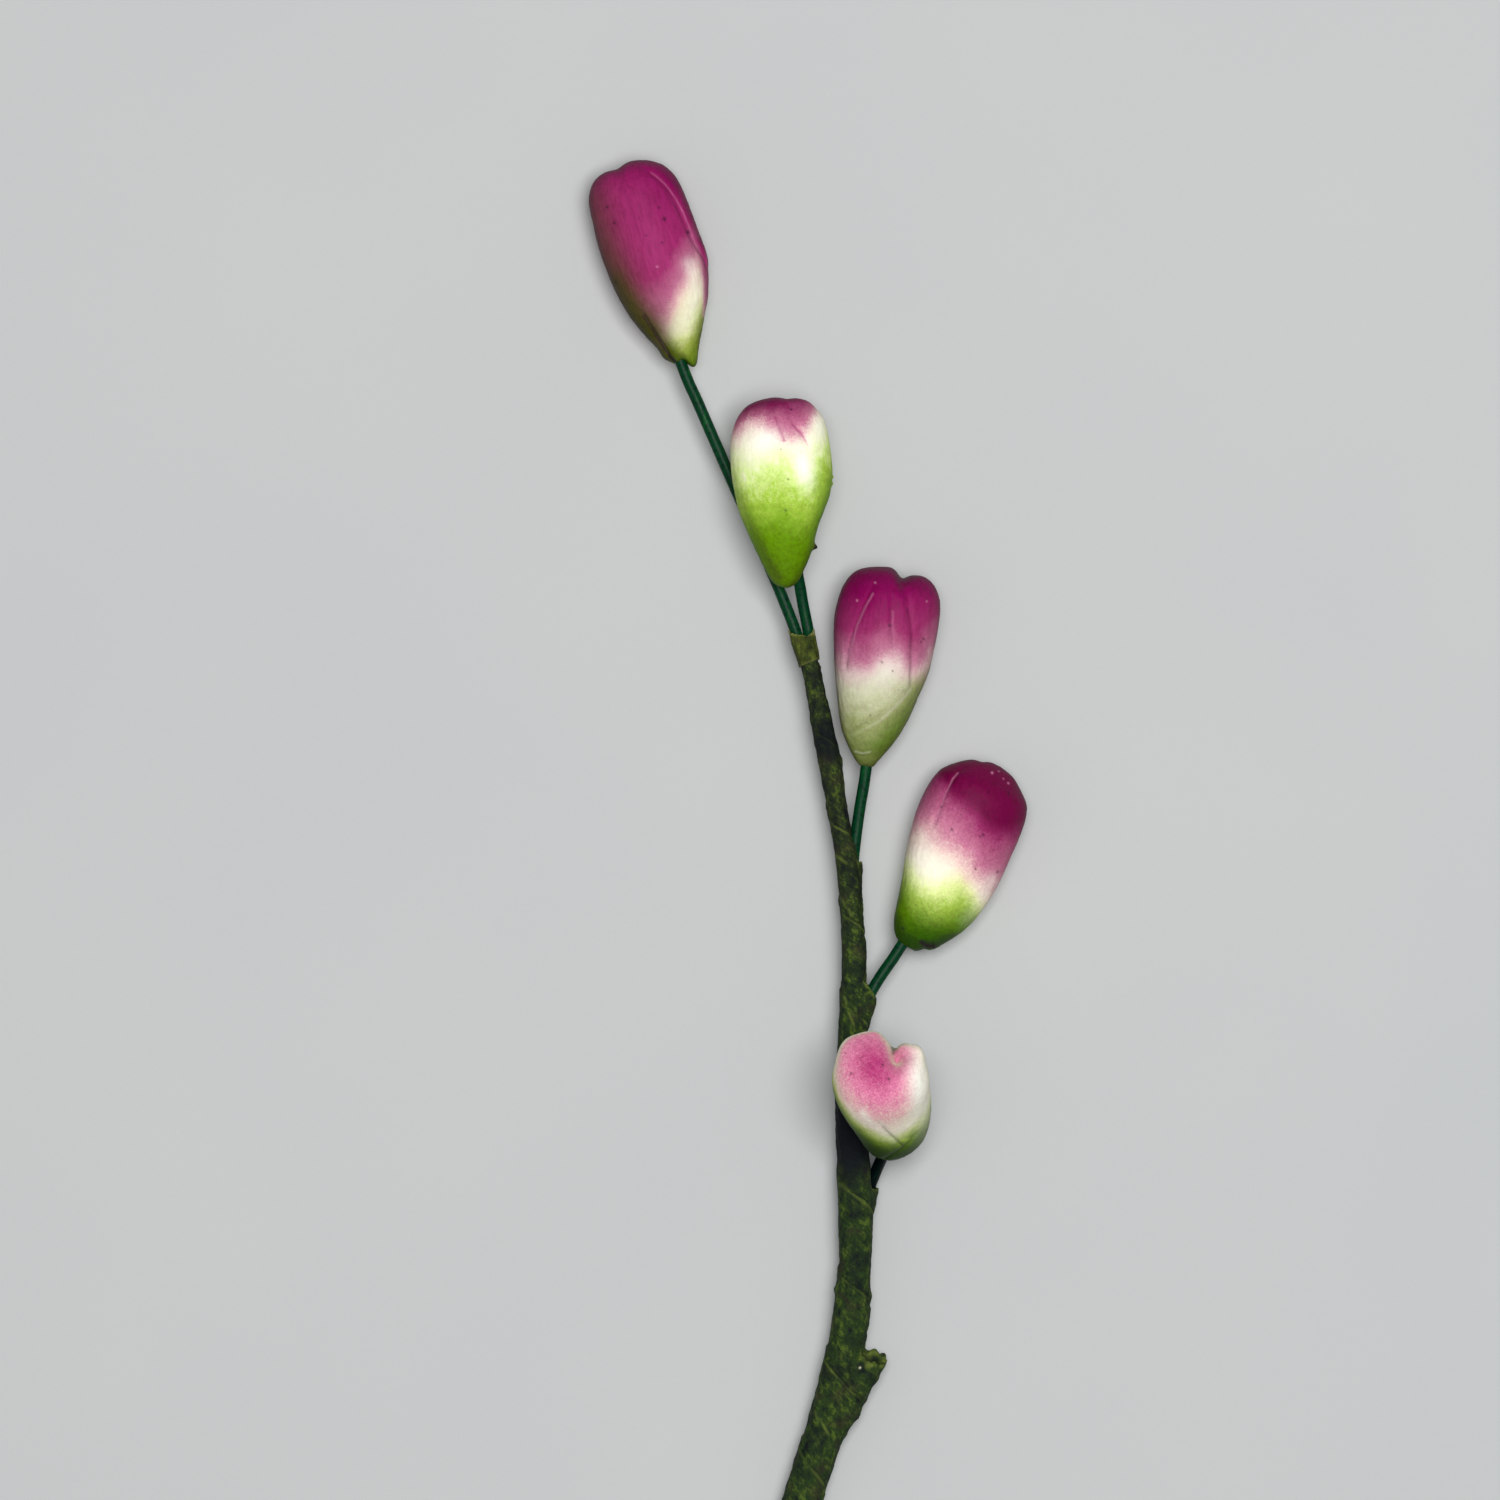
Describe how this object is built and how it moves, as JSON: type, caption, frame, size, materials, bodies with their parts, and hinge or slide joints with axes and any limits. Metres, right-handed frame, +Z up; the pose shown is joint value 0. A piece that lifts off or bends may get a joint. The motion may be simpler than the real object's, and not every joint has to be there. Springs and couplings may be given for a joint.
{
  "type": "artificial orchid bud sprig",
  "caption": "Handmade artificial orchid bud sprig lying flat: painted clay buds on coated wires, bound into one gently curved stem with spirally wound crepe tape.",
  "frame": {"origin": "The middle of the underside of the bounding box, on the table under the middle of the stem.", "axes": "+Y runs up the sprig from the cut end to the top bud, +X is across it to the right seen from above, +Z points up from the table on which the sprig lies."},
  "size_m": [0.046, 0.1665, 0.0218],
  "materials": {
    "bud_1_clay": "satin",
    "bud_2_clay": "satin",
    "bud_3_clay": "satin",
    "bud_4_clay": "satin",
    "bud_5_clay": "satin",
    "green_coating": "gloss",
    "olive_tape": "matte",
    "light_tape": "matte"
  },
  "bodies": {
    "root": {"bud_1": "bud_1_clay", "bud_2": "bud_2_clay", "bud_3": "bud_3_clay", "bud_4": "bud_4_clay", "bud_5": "bud_5_clay", "wire_1": "green_coating", "wire_2": "green_coating", "wire_3": "green_coating", "wire_4": "green_coating", "wire_5": "green_coating", "cut_wire": "green_coating", "stem_tape": "olive_tape", "top_collar": "light_tape"}
  },
  "joints": []
}
